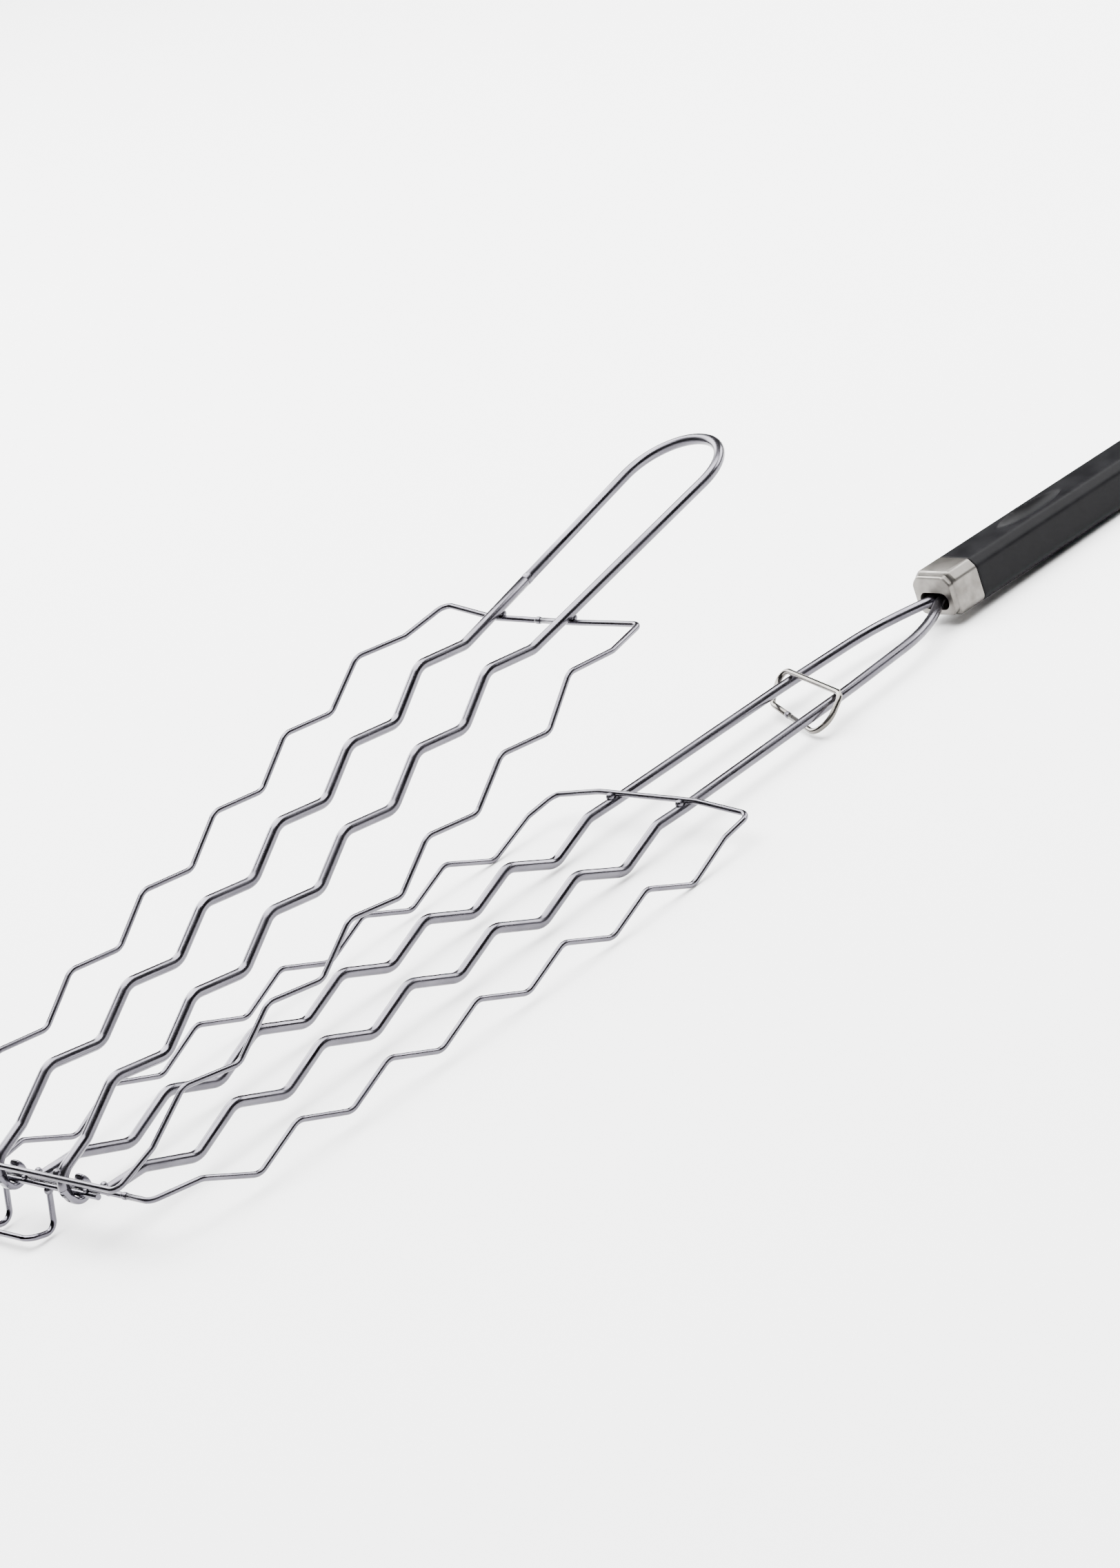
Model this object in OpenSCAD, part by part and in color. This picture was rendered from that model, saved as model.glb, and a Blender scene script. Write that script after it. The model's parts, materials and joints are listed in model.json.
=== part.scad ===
// Grill basket: two corrugated wire halves hinged at the front, a pair of shaft rods with a
// grip, and a wire ring that slides on the rods. Millimetres, +Z up, +Y toward the grip.

/* [Wire] */
// Diameter of the thick shaft and grid wires
thick_d = 5.0; // [3.5:0.1:7]
// Diameter of the thin frame wire
thin_d = 2.7; // [2:0.1:4]
// Diameter of the ring wire
ring_d = 2.8; // [2:0.1:4]
// Inside bend of the thick wire, measured on its centre line
thick_bend = 9.0; // [5:0.5:12]
// Inside bend of the thin wire, measured on its centre line
thin_bend = 7.0; // [3:0.5:10]
// Corner bend of the frames, measured on the centre line of the thin wire
corner_bend = 5.0; // [3:0.5:8]

/* [Grid] */
// Length of one food pocket
pocket_pitch = 50.2; // [36:0.2:64]
// Depth of one food pocket
pocket_depth = 10.5; // [6:0.5:16]
// How far the middle of each grid bows toward the food
grid_bow = 2.6; // [0:0.2:5]
// Length of the flat run between the front rail and the first pocket
front_run = 21.7; // [16:0.1:34]
// Length of the flat run between the last pocket and the rear edge
rear_run = 17.6; // [12:0.1:30]
// Length of the same run on the upper half
upper_rear_run = 22.6; // [12:0.1:30]
// Half the distance between the two thick wires
wire_spread = 23.1; // [17:0.1:30]
// Drop of the thin wire's inner bends below the front rail
grid_drop = 3.55; // [2:0.05:8]
// Drop of the lower frame's first bend below the front rail
first_drop = 0.8; // [0:0.1:4]
// How much nearer to the food the thick wire lies than the thin one
thick_lift = 2.45; // [1:0.05:4]

/* [Frame outlines] */
// Half width of the lower frame at its widest pocket
lower_wide = 68; // [52:1:84]
// Half width of the lower frame at the rear edge
lower_rear = 65; // [50:1:80]
// Half width of the lower frame at the first pocket
lower_narrow = 63; // [48:1:78]
// Half width of the lower frame at the front rail
lower_front = 56; // [46:1:70]
// Half width of the upper frame at its widest pocket
upper_wide = 74; // [56:1:90]
// Half width of the upper frame at the rear edge
upper_rear = 69; // [52:1:86]
// How much narrower the upper rear edge is on its right
upper_rear_inset = 5; // [0:0.5:8]
// How much further back the upper left rear corner lies than the right one
upper_rear_skew = 3.5; // [0:0.5:6]
// Half width of the upper frame at the first pocket
upper_narrow = 64; // [50:1:80]
// Half width of the upper frame at the front rail
upper_front = 60; // [46:1:76]
// Sideways offset of the upper frame from its thick wires
upper_frame_shift = 7.0; // [0:0.5:10]

/* [Hinge] */
// Opening angle of the upper half at rest
open_angle = 15; // [0:1:60]
// Sideways offset of the upper half from the lower half
upper_shift = -16.8; // [-18:0.1:-12]
// Height of the upper front rail over the hinge axis with the halves parallel
upper_rise = 11.8; // [10.5:0.1:16]
// Distance of the upper front rail in front of the hinge axis with the halves parallel
upper_lead = 5.4; // [4.5:0.1:8]
// Running clearance between the hooks and the pair of wires in them
hook_gap = 0.35; // [0.2:0.05:1]
// Thickness that the thick wire is pressed to in a hook
hook_thick = 3.2; // [2.6:0.1:4.5]
// Width of the pressed hook
hook_wide = 6.0; // [5:0.1:8]
// Angle that each hook wraps around the hinge
hook_wrap = 225; // [200:5:240]
// Right end of the hinge bar
hinge_bar_right = 22; // [16:1:30]
// Left end of the hinge bar
hinge_bar_left = -54; // [-60:1:-50]

/* [Foot] */
// Length of the foot's legs
foot_leg = 16.5; // [14:0.5:30]
// Length of the foot's toes
foot_toe = 13.0; // [8:0.5:20]
// Spread of the foot's two legs
foot_spread = 31.8; // [24:0.2:36]
// Sideways place of the foot
foot_x = -29.6; // [-32:0.2:-20]
// Forward lean of the foot
foot_lean = 14.5; // [0:0.5:30]

/* [Lift handle] */
// Length of the lift handle behind the last pocket
lift_length = 142.7; // [100:0.1:180]
// Half width of the lift handle's round end on the left
lift_left = 19.8; // [14:0.1:26]
// Half width of the lift handle's round end on the right
lift_right = 37.2; // [34:0.1:46]
// Bend of the lift handle's round end
lift_bend = 27; // [18:0.5:28]
// Distance of the butt joint behind the last pocket
lift_joint = 45; // [20:1:90]

/* [Shaft] */
// Length of the rods from the rear edge to the ferrule's mouth
shaft_length = 197.5; // [150:0.5:260]
// Rise of the rods for each millimetre of length
shaft_slope = 0.025; // [0:0.005:0.04]
// Half the distance between the rods where they start to meet
shaft_waist = 17.0; // [12:0.5:20]
// Half the distance between the rods at the ring
shaft_hip = 21.2; // [17:0.1:24]
// Length over which the rods meet
shaft_taper = 26.5; // [22:0.5:40]
// Length of the rods inside the ferrule and the grip
tang_length = 62; // [40:1:100]
// Clearance between the rods and their sockets
socket_gap = 0.05; // [0.02:0.01:0.3]

/* [Ring] */
// Width of the ring across its top bar
ring_width = 60; // [56:0.5:80]
// Height of the ring
ring_height = 22; // [20:0.5:34]
// Distance of the ring behind the rear edge
ring_place = 110; // [60:1:150]
// Forward lean of the ring from upright
ring_lean = 52; // [0:1:60]
// Turn of the ring about the upright axis
ring_yaw = 18; // [0:1:30]
// Clearance between the ring's top bar and the rods
ring_gap = 0.3; // [0.2:0.05:1]

/* [Grip] */
// Width of the ferrule and the grip
grip_width = 27; // [20:0.5:36]
// Height of the ferrule and the grip
grip_height = 22; // [17:0.5:30]
// Length of the ferrule
ferrule_length = 19; // [12:0.5:34]
// Length of the grip
grip_length = 150; // [110:1:200]
// Chamfer on the ferrule's and the grip's long edges
grip_chamfer = 4; // [2:0.25:7]
// Length of the thumb scoop
scoop_length = 60; // [30:1:70]
// Depth of the thumb scoop
scoop_depth = 4.3; // [1:0.1:6]
// Radius of the hanging hole
hang_hole_r = 4; // [2.5:0.25:6]
// Distance of the hanging hole from the end of the grip
hang_hole_inset = 13; // [9:0.5:20]

/* [Hidden] */
$fn = 40;
thick_r = thick_d / 2;
thin_r = thin_d / 2;
ring_r = ring_d / 2;
pockets = 6;
touch = 0.02;              // air between wires that a weld joins
weld_clear = 0.01;         // air between a bead and the wires it sits on
wire_sides = 12;           // flat sides of a long wire
ring_step = 15;            // largest turn between two rings of a long wire
grid_length = pockets * pocket_pitch;
last_bend_y = front_run + grid_length;
rear_y = last_bend_y + rear_run;
grid_mid_y = front_run + grid_length / 2;

// Hinge: the front rail and the hinge bar lie side by side inside the hooks.
bar_step = (thin_d + touch) / sqrt(2);
bar_y = -bar_step;
bar_z = -bar_step;
hinge_y = bar_y / 2;
hinge_z = bar_z / 2;
pair_r = thin_r + norm([bar_y, bar_z]) / 2;
hook_r = pair_r + hook_gap + hook_thick / 2;

// Shaft
rod_z = thick_lift - grid_drop;
taper_y = rear_y + shaft_length - shaft_taper;
mouth_y = rear_y + shaft_length;
mouth_half = thick_r + 0.2;
taper_rise = shaft_slope * (taper_y - rear_y);
mouth_rise = 2.0;
hip_y = rear_y + ring_place;
rod_pinch = ring_width / 2 - 30;   // the rods follow the ring when its width changes
hip_half = shaft_hip + rod_pinch;
waist_half = shaft_waist + rod_pinch;
mouth_z = rod_z + taper_rise + mouth_rise;
grip_axis_z = mouth_z + 2.6;
grip_y = mouth_y + ferrule_length - 2;
grip_end_y = grip_y + grip_length;
grip_low_z = grip_axis_z - grip_height / 2;
scoop_half = 7.5;

// Foot
foot_top = [bar_y - thin_r * sin(foot_lean), bar_z - thin_d - touch];
foot_knee = foot_top + foot_leg * [-sin(foot_lean), -cos(foot_lean)];
foot_tip = foot_knee + foot_toe * [-cos(foot_lean), sin(foot_lean)];

// The part stands on the foot's knees and on the end of the grip.
pitch = atan2(foot_knee[1] - thin_r - grip_low_z, grip_end_y - foot_knee[0]);
floor_z = grip_end_y * sin(pitch) + grip_low_z * cos(pitch);
mid_x = (lower_wide + upper_shift + upper_frame_shift - upper_wide) / 2;
mid_y = (grip_end_y + foot_tip[0]) / 2;

steel = [0.72, 0.72, 0.74];
cast = [0.62, 0.61, 0.6];
moulded = [0.12, 0.12, 0.13];

function unit(v) = v / norm(v);
function heading(p, i) = unit(p[i + 1] - p[i]);
function turn(p, i) = acos(heading(p, i - 1) * heading(p, i));
function bend_at(b, i) = is_list(b) ? b[i] : b;
function setback(p, b, i) =
    (i == 0 || i == len(p) - 1) ? 0 : bend_at(b, i) * tan(turn(p, i) / 2);
function across(u) = abs(u[2]) < 0.9 ? unit(cross([0, 0, 1], u)) : unit(cross([1, 0, 0], u));
function reversed(p) = [for (i = [len(p) - 1:-1:0]) p[i]];

// One straight of a wire, then its bend, then the rest of the wire.
module wire_from(p, r, b, i, ax, ay) {
    u = heading(p, i);
    straight = norm(p[i + 1] - p[i]) - setback(p, b, i) - setback(p, b, i + 1);
    cylinder(h = straight, r = r);
    if (i + 2 < len(p)) {
        v = heading(p, i + 1);
        inward = unit(v - (v * u) * u);
        roll = atan2(inward * ay, inward * ax);
        angle = turn(p, i + 1);
        bend = bend_at(b, i + 1);
        translate([0, 0, straight]) rotate([0, 0, roll]) {
            multmatrix([[-1, 0, 0, bend], [0, 0, 1, 0], [0, 1, 0, 0], [0, 0, 0, 1]])
                rotate_extrude(angle = angle) translate([bend, 0]) circle(r);
            translate([bend * (1 - cos(angle)), 0, bend * sin(angle)]) rotate([0, angle, 0])
                wire_from(p, r, b, i + 1, cos(angle) * inward - sin(angle) * u, cross(u, inward));
        }
    }
}

// A round wire through the points p, bent to the radius b (or one radius for each point).
module wire(p, r, b) {
    u = heading(p, 0);
    ax = across(u);
    ay = cross(u, ax);
    multmatrix([[ax[0], ay[0], u[0], p[0][0]], [ax[1], ay[1], u[1], p[0][1]],
                [ax[2], ay[2], u[2], p[0][2]], [0, 0, 0, 1]])
        wire_from(p, r, b, 0, ax, ay);
}

// Places and directions of the rings that a long wire is skinned over.
function bend_rings(p, b, i) =
    let (u = heading(p, i - 1), v = heading(p, i), angle = turn(p, i), steps = ceil(angle / ring_step))
    angle < 0.05 ? [[p[i], u]] :
    let (inward = unit(v - (v * u) * u), bend = bend_at(b, i),
         centre = p[i] - setback(p, b, i) * u + bend * inward)
    [for (k = [0:steps]) let (a = angle * k / steps)
        [centre - bend * cos(a) * inward + bend * sin(a) * u, cos(a) * u + sin(a) * inward]];
function wire_rings(p, b) = concat(
    [[p[0], heading(p, 0)]],
    [for (i = [1:len(p) - 2]) each bend_rings(p, b, i)],
    [[p[len(p) - 1], heading(p, len(p) - 2)]]);
function settled(a, t) = unit(a - (a * t) * t);

// A long round wire as one skin of flat faces.
module long_wire(p, r, b) {
    rings = wire_rings(p, b);
    n = len(rings);
    sides = [for (k = 0, a = across(rings[0][1]); k < n;
                  k = k + 1, a = k < n ? settled(a, rings[k][1]) : a) a];
    skin = [for (k = [0:n - 1]) let (a = sides[k], c = cross(rings[k][1], a))
        for (m = [0:wire_sides - 1]) let (w = 360 * m / wire_sides)
            rings[k][0] + r * (cos(w) * a + sin(w) * c)];
    walls = [for (k = [0:n - 2]) for (m = [0:wire_sides - 1])
        let (q = k * wire_sides, m2 = (m + 1) % wire_sides)
        [q + m, q + wire_sides + m, q + wire_sides + m2, q + m2]];
    split = [for (f = walls) each [[f[0], f[1], f[2]], [f[0], f[2], f[3]]]];
    ends = [[for (m = [0:wire_sides - 1]) m],
            [for (m = [wire_sides - 1:-1:0]) (n - 1) * wire_sides + m]];
    polyhedron(points = skin, faces = concat(split, ends), convexity = 12);
}

// A plain rod between two points, used to cut the beds of weld beads.
module rod(a, b, r) {
    u = unit(b - a);
    ax = across(u);
    ay = cross(u, ax);
    multmatrix([[ax[0], ay[0], u[0], a[0]], [ax[1], ay[1], u[1], a[1]],
                [ax[2], ay[2], u[2], a[2]], [0, 0, 0, 1]])
        cylinder(h = norm(b - a), r = r);
}

// Corrugation: bend j of the grid, counted from the front; even bends are the inner ones.
function bend_y(j) = front_run + j * pocket_pitch / 2;
function bow(y) = grid_bow * (pow((y - grid_mid_y) / (grid_length / 2), 2) - 1);
function bend_drop(j) = grid_drop + (j % 2) * pocket_depth + bow(bend_y(j));
function half_width(y, rear, wide, narrow, front) =
    y > last_bend_y - pocket_pitch
        ? wide + (rear - wide) * (y - last_bend_y + pocket_pitch) / (pocket_pitch + rear_run)
    : y >= front_run
        ? wide - (wide - narrow) * pow((last_bend_y - pocket_pitch - y) / (grid_length - pocket_pitch), 2)
    : narrow + (front - narrow) * (front_run - y) / front_run;

// Side of a thin frame, front to rear, seen with the food above it (flip = 1) or below (-1).
function frame_side(side, flip, first, rear, wide, narrow, front) =
    [for (j = [0:2 * pockets]) [side * half_width(bend_y(j), rear, wide, narrow, front), bend_y(j),
        -flip * (j == 0 ? first : bend_drop(j))]];
function frame_bends() = concat(
    [0, corner_bend], [for (j = [0:2 * pockets]) thin_bend], [corner_bend, 30, 30, corner_bend],
    [for (j = [0:2 * pockets]) thin_bend], [corner_bend, 0]);
// Thick wire in the grid, front to rear.
function grid_run(x, flip) =
    [for (j = [0:2 * pockets]) [x, bend_y(j), -flip * (bend_drop(j) - thick_lift)]];

module stand() {
    translate([-mid_x, -mid_y, -floor_z]) rotate([pitch, 0, 0]) children();
}

module on_upper() {
    stand() translate([0, hinge_y, hinge_z]) rotate([open_angle, 0, 0])
        translate([upper_shift, -upper_lead, upper_rise]) children();
}

// --- lower half ---
lower_corner_z = -1.2;
lower_over_z = rod_z + thick_r + thin_r + touch;
over_x = wire_spread + 9;
lower_rear_edge = [[lower_rear, rear_y, lower_corner_z], [over_x, rear_y, lower_over_z],
                   [-over_x, rear_y, lower_over_z], [-lower_rear, rear_y, lower_corner_z]];
joint_gap = 0.3;

// A closed frame: it starts and ends at the butt joint in the middle of the front rail.
function closed_frame(right, rear, left, front, seam_x) = concat(
    [[seam_x + joint_gap, 0, 0], [front, 0, 0]], right, rear, reversed(left),
    [[-front, 0, 0], [seam_x - joint_gap, 0, 0]]);

lower_seam_x = (hinge_bar_right + lower_front) / 2;
lower_path = closed_frame(
    frame_side(1, 1, first_drop, lower_rear, lower_wide, lower_narrow, lower_front), lower_rear_edge,
    frame_side(-1, 1, first_drop, lower_rear, lower_wide, lower_narrow, lower_front),
    lower_front, lower_seam_x);

module lower_frame() {
    color(steel) stand() long_wire(lower_path, thin_r, frame_bends());
}

function rod_path(side) = concat(
    [[side * wire_spread, thin_r + touch, rod_z]],
    grid_run(side * wire_spread, 1),
    [[side * wire_spread, rear_y, rod_z],
     [side * hip_half, hip_y, rod_z + shaft_slope * (hip_y - rear_y)],
     [side * waist_half, taper_y, rod_z + taper_rise],
     [side * mouth_half, mouth_y - 1, mouth_z],
     [side * mouth_half, mouth_y + tang_length, mouth_z]]);
rod_bends = concat([0], [for (j = [0:2 * pockets]) thick_bend], [60, 200, 80, 12, 0]);

module rod_left() {
    color(steel) stand() long_wire(rod_path(-1), thick_r, rod_bends);
}

module rod_right() {
    color(steel) stand() long_wire(rod_path(1), thick_r, rod_bends);
}

module hinge_bar() {
    color(steel) stand() rod([hinge_bar_left, bar_y, bar_z], [hinge_bar_right, bar_y, bar_z], thin_r);
}

module foot_loop() {
    right_x = foot_x + foot_spread / 2;
    left_x = foot_x - foot_spread / 2;
    color(steel) stand() wire(
        [[right_x, foot_top[0], foot_top[1]], [right_x, foot_knee[0], foot_knee[1]],
         [right_x, foot_tip[0], foot_tip[1]], [left_x, foot_tip[0], foot_tip[1]],
         [left_x, foot_knee[0], foot_knee[1]], [left_x, foot_top[0], foot_top[1]]],
        thin_r, corner_bend);
}

// --- handle ---
module handle_section(inset) {
    w = grip_width / 2 - inset;
    h = grip_height / 2 - inset;
    c = grip_chamfer;
    d = c * 0.7;
    polygon([[-w + c, h], [w - c, h], [w, h - c], [w, -h + d], [w - d, -h], [-w + d, -h], [-w, -h + d],
             [-w, h - c]]);
}

module handle_block(from_y, to_y, inset) {
    translate([0, to_y, grip_axis_z]) rotate([90, 0, 0])
        linear_extrude(to_y - from_y) handle_section(inset);
}

module tang_bores() {
    for (side = [-1, 1])
        rod([side * mouth_half, mouth_y - 3, mouth_z],
            [side * mouth_half, mouth_y + tang_length + 1, mouth_z], thick_r + socket_gap);
}

module ferrule() {
    color(cast) stand() difference() {
        union() {
            handle_block(mouth_y - 2, mouth_y + 1.5, 1.2);
            handle_block(mouth_y + 1.5, grip_y, 0);
        }
        tang_bores();
        // mouth that the two rods come in through
        translate([-grip_width / 2 + 5, mouth_y - 3, mouth_z - thick_r - 1.5])
            cube([grip_width - 10, 8, thick_d + 3]);
    }
}

module grip() {
    scoop_round = (pow(scoop_length / 2, 2) + pow(scoop_half, 2)) / (2 * scoop_half);
    color(moulded) stand() difference() {
        union() {
            handle_block(grip_y + 0.02, grip_end_y - 3, 0);
            handle_block(grip_end_y - 3, grip_end_y, 1.5);
        }
        tang_bores();
        translate([0, grip_y + 54, grip_axis_z + grip_height / 2 + scoop_half - scoop_depth]) rotate([90, 0, 0])
            rotate_extrude() intersection() {
                translate([scoop_half - scoop_round, 0]) circle(scoop_round, $fn = 120);
                translate([0, -scoop_length]) square([20, 2 * scoop_length]);
            }
        translate([-grip_width, grip_end_y - hang_hole_inset, grip_axis_z]) rotate([0, 90, 0])
            cylinder(h = 2 * grip_width, r = hang_hole_r);
    }
}

// --- upper half, in its own frame: front rail at the origin, food below ---
hook_y = upper_lead;
hook_z = -upper_rise;
hook_line_y = hook_y - hook_r;
hook_turn_z = -(thick_r + thin_r) + 1.85;
upper_wire_z = grid_drop - thick_lift;
upper_under_z = upper_wire_z - thick_r - thin_r - touch;
upper_seam_x = -3.4;
upper_rear_y = last_bend_y + upper_rear_run;
upper_over_x = wire_spread + 4;
hook_start_z = hook_z + 3.3;

function shifted(p, dx) = [for (q = p) q + [dx, 0, 0]];
upper_right = frame_side(1, -1, grid_drop, upper_rear, upper_wide, upper_narrow, upper_front);
upper_left = frame_side(-1, -1, grid_drop, upper_rear, upper_wide, upper_narrow, upper_front);
upper_edge_right = [upper_rear - upper_rear_inset, upper_rear_y, upper_under_z + 1.2];
upper_edge_left = [-upper_rear, upper_rear_y + upper_rear_skew, upper_under_z + 3];
// It starts and ends at the butt joint in the rear edge, between the thick wires.
upper_path = shifted(concat(
    [[upper_seam_x - joint_gap, upper_rear_y, upper_under_z],
     [-upper_over_x - upper_frame_shift, upper_rear_y, upper_under_z], upper_edge_left],
    reversed(upper_left), [[-upper_front, 0, 0], [upper_front, 0, 0]], upper_right,
    [upper_edge_right, [upper_over_x - upper_frame_shift, upper_rear_y, upper_under_z],
     [upper_seam_x + joint_gap, upper_rear_y, upper_under_z]]), upper_frame_shift);
upper_bends = concat(
    [0, 30, corner_bend], [for (j = [0:2 * pockets]) thin_bend], [corner_bend, corner_bend],
    [for (j = [0:2 * pockets]) thin_bend], [corner_bend, 30, 0]);

module upper_frame() {
    color(steel) on_upper() long_wire(upper_path, thin_r, upper_bends);
}

// Front of a thick wire, between its hook and its first grid bend.
function hook_lead(x) = [[x, hook_line_y, hook_start_z], [x, hook_line_y, hook_turn_z]];

// Flat oval that the thick wire is pressed to in its hook.
module hook_section() {
    square([hook_thick, hook_wide - hook_thick], center = true);
    for (side = [-1, 1]) translate([0, side * (hook_wide - hook_thick) / 2]) circle(hook_thick / 2);
}

// Hook that a thick wire ends in: a short straight, then a turn round the hinge.
module hook(x) {
    translate([x, hook_y, hook_z])
        multmatrix([[0, 0, 1, 0], [-1, 0, 0, 0], [0, -1, 0, 0], [0, 0, 0, 1]])
            rotate_extrude(angle = hook_wrap) translate([hook_r, 0]) hook_section();
    translate([x, hook_line_y, hook_z]) rotate([0, 0, 90])
        linear_extrude(hook_start_z - hook_z) hook_section();
}

module hook_left() {
    color(steel) on_upper() hook(-wire_spread);
}

module hook_right() {
    color(steel) on_upper() hook(wire_spread);
}

lift_y = last_bend_y + lift_length;
lift_left_start = [-wire_spread, last_bend_y, upper_wire_z];
lift_left_corner = [-lift_left, lift_y, upper_wire_z];
lift_seam = lift_left_start + lift_joint * unit(lift_left_corner - lift_left_start);
lift_way = unit(lift_left_corner - lift_left_start);

module upper_wire_left() {
    p = concat(hook_lead(-wire_spread), grid_run(-wire_spread, -1), [lift_seam - joint_gap * lift_way]);
    color(steel) on_upper() long_wire(p, thick_r, thick_bend);
}

module upper_wire_right() {
    p = concat(hook_lead(wire_spread), grid_run(wire_spread, -1),
               [[lift_right, lift_y, upper_wire_z], lift_left_corner, lift_seam + joint_gap * lift_way]);
    bends = concat([0], [for (j = [0:2 * pockets + 1]) thick_bend], [lift_bend, lift_bend, 0]);
    color(steel) on_upper() long_wire(p, thick_r, bends);
}

// --- ring ---
ring_y = rear_y + ring_place;
ring_along = [cos(ring_yaw), -sin(ring_yaw), -sin(ring_yaw) * shaft_slope];
ring_down = [0, -sin(ring_lean), -cos(ring_lean)];
ring_mid = [0, ring_y, rod_z + shaft_slope * (ring_y - rear_y) + thick_r + ring_r + ring_gap];
ring_half = ring_width / 2 / cos(ring_yaw) - ring_r;

function on_ring(a, b) = ring_mid + a * ring_along + b * ring_down;
ring_low_left = [-ring_half * 0.9, ring_height * 0.78];
ring_low_right = [ring_half * 0.66, ring_height];
ring_seam = 0.6 * ring_low_left + 0.4 * ring_low_right;
ring_seam_way = unit(ring_low_right - ring_low_left);
ring_path = [for (q = [ring_seam + joint_gap * ring_seam_way, ring_low_right,
                       [ring_half * 0.97, ring_height * 0.62], [ring_half, 0], [-ring_half, 0],
                       ring_low_left, ring_seam - joint_gap * ring_seam_way])
    on_ring(q[0], q[1])];

module latch_ring() {
    color(steel) stand() long_wire(ring_path, ring_r, [0, 9, 9, 5, 5, 6, 0]);
}

// --- weld beads ---
module bead(p, r) {
    translate(p) sphere(r);
}

module lower_rear_welds() {
    color(steel) stand() for (side = [-1, 1]) difference() {
        bead([side * wire_spread, rear_y - thin_r - 0.7, lower_over_z - 0.9], 1.9);
        rod([side * wire_spread, last_bend_y, rod_z], [side * wire_spread, rear_y, rod_z], thick_r + weld_clear);
        rod([-over_x, rear_y, lower_over_z], [over_x, rear_y, lower_over_z], thin_r + weld_clear);
    }
}

module lower_front_welds() {
    color(steel) stand() for (side = [-1, 1]) difference() {
        bead([side * wire_spread, thin_r + 0.4, thin_r + 0.3], 1.6);
        rod([side * wire_spread, 0.6 * thin_r, rod_z],
            [side * wire_spread, front_run, rod_z], thick_r + weld_clear);
        rod([-lower_front + 8, 0, 0], [lower_front - 8, 0, 0], thin_r + weld_clear);
    }
}

module hinge_bar_welds() {
    color(steel) stand() for (x = [foot_x, hinge_bar_right - 8]) difference() {
        bead([x, -bar_step * 1.02, 0.05 - thin_r * 0.25], 1.1);
        rod([x - 5, 0, 0], [x + 5, 0, 0], thin_r + weld_clear);
        rod([x - 5, bar_y, bar_z], [x + 5, bar_y, bar_z], thin_r + weld_clear);
    }
}

module foot_welds() {
    along = unit(concat([0], foot_knee - foot_top));
    color(steel) stand() for (side = [-1, 1]) {
        x = foot_x + side * foot_spread / 2;
        top = [x, foot_top[0], foot_top[1]];
        difference() {
            bead(top + [0, 0, 0.9], 2.0);
            rod(top - weld_clear * along, top + 8 * along, thin_r + weld_clear);
            rod([x - 6, bar_y, bar_z], [x + 6, bar_y, bar_z], thin_r + weld_clear);
            rod([x - 6, 0, 0], [x + 6, 0, 0], thin_r + weld_clear);
        }
    }
}

// Swollen bead round a butt joint; the wire ends stop just short of each other inside it.
module butt_bead(p, way, r, gap, swell) {
    ax = across(way);
    ay = cross(way, ax);
    bore = r + weld_clear;
    web = gap - weld_clear;
    high = r + swell;
    low = r + swell / 3;
    multmatrix([[ax[0], ay[0], way[0], p[0]], [ax[1], ay[1], way[1], p[1]],
                [ax[2], ay[2], way[2], p[2]], [0, 0, 0, 1]])
        rotate_extrude() polygon([[0, -web], [bore, -web], [bore, -1.5], [low, -1.5], [high, -0.6],
            [high, 0.6], [low, 1.5], [bore, 1.5], [bore, web], [0, web]]);
}

module lower_frame_joint() {
    color(steel) stand() butt_bead([lower_seam_x, 0, 0], [1, 0, 0], thin_r, joint_gap, 0.3);
}

module upper_frame_joint() {
    color(steel) on_upper()
        butt_bead([upper_seam_x + upper_frame_shift, upper_rear_y, upper_under_z], [1, 0, 0],
                  thin_r, joint_gap, 0.35);
}

module lift_handle_joint() {
    color(steel) on_upper() butt_bead(lift_seam, lift_way, thick_r, joint_gap, 0.14);
}

module latch_ring_joint() {
    start = on_ring(ring_seam[0], ring_seam[1]);
    way = unit(on_ring(ring_low_right[0], ring_low_right[1]) - start);
    color(steel) stand() butt_bead(start, way, ring_r, joint_gap, 0.25);
}

module upper_rear_welds() {
    color(steel) on_upper() for (side = [-1, 1]) {
        start = [side * wire_spread, last_bend_y, upper_wire_z];
        end = side < 0 ? lift_left_corner : [lift_right, lift_y, upper_wire_z];
        way = unit(end - start);
        x = start[0] + way[0] / way[1] * upper_rear_run;
        difference() {
            bead([x, upper_rear_y + thin_r + 0.7, upper_under_z + 0.9], 1.9);
            rod(start, start + 60 * way, thick_r + weld_clear);
            rod([x - 4, upper_rear_y, upper_under_z], [x + 4, upper_rear_y, upper_under_z], thin_r + weld_clear);
        }
    }
}

module upper_front_welds() {
    color(steel) on_upper() for (side = [-1, 1]) {
        x = side * wire_spread;
        difference() {
            bead([x, thin_r + 1.2, 0.1], 1.8);
            long_wire(concat(hook_lead(x), [[x, front_run, upper_wire_z]]), thick_r + weld_clear, thick_bend);
            rod([x - 8, 0, 0], [x + 8, 0, 0], thin_r + weld_clear);
        }
    }
}

lower_frame();
rod_left();
rod_right();
hinge_bar();
foot_loop();
ferrule();
grip();
lower_rear_welds();
lower_front_welds();
hinge_bar_welds();
foot_welds();
lower_frame_joint();
upper_frame();
upper_wire_left();
upper_wire_right();
hook_left();
hook_right();
upper_rear_welds();
upper_front_welds();
upper_frame_joint();
lift_handle_joint();
latch_ring();
latch_ring_joint();
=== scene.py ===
import json
import math

import bmesh
import bpy
from mathutils import Euler, Matrix, Vector


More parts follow.
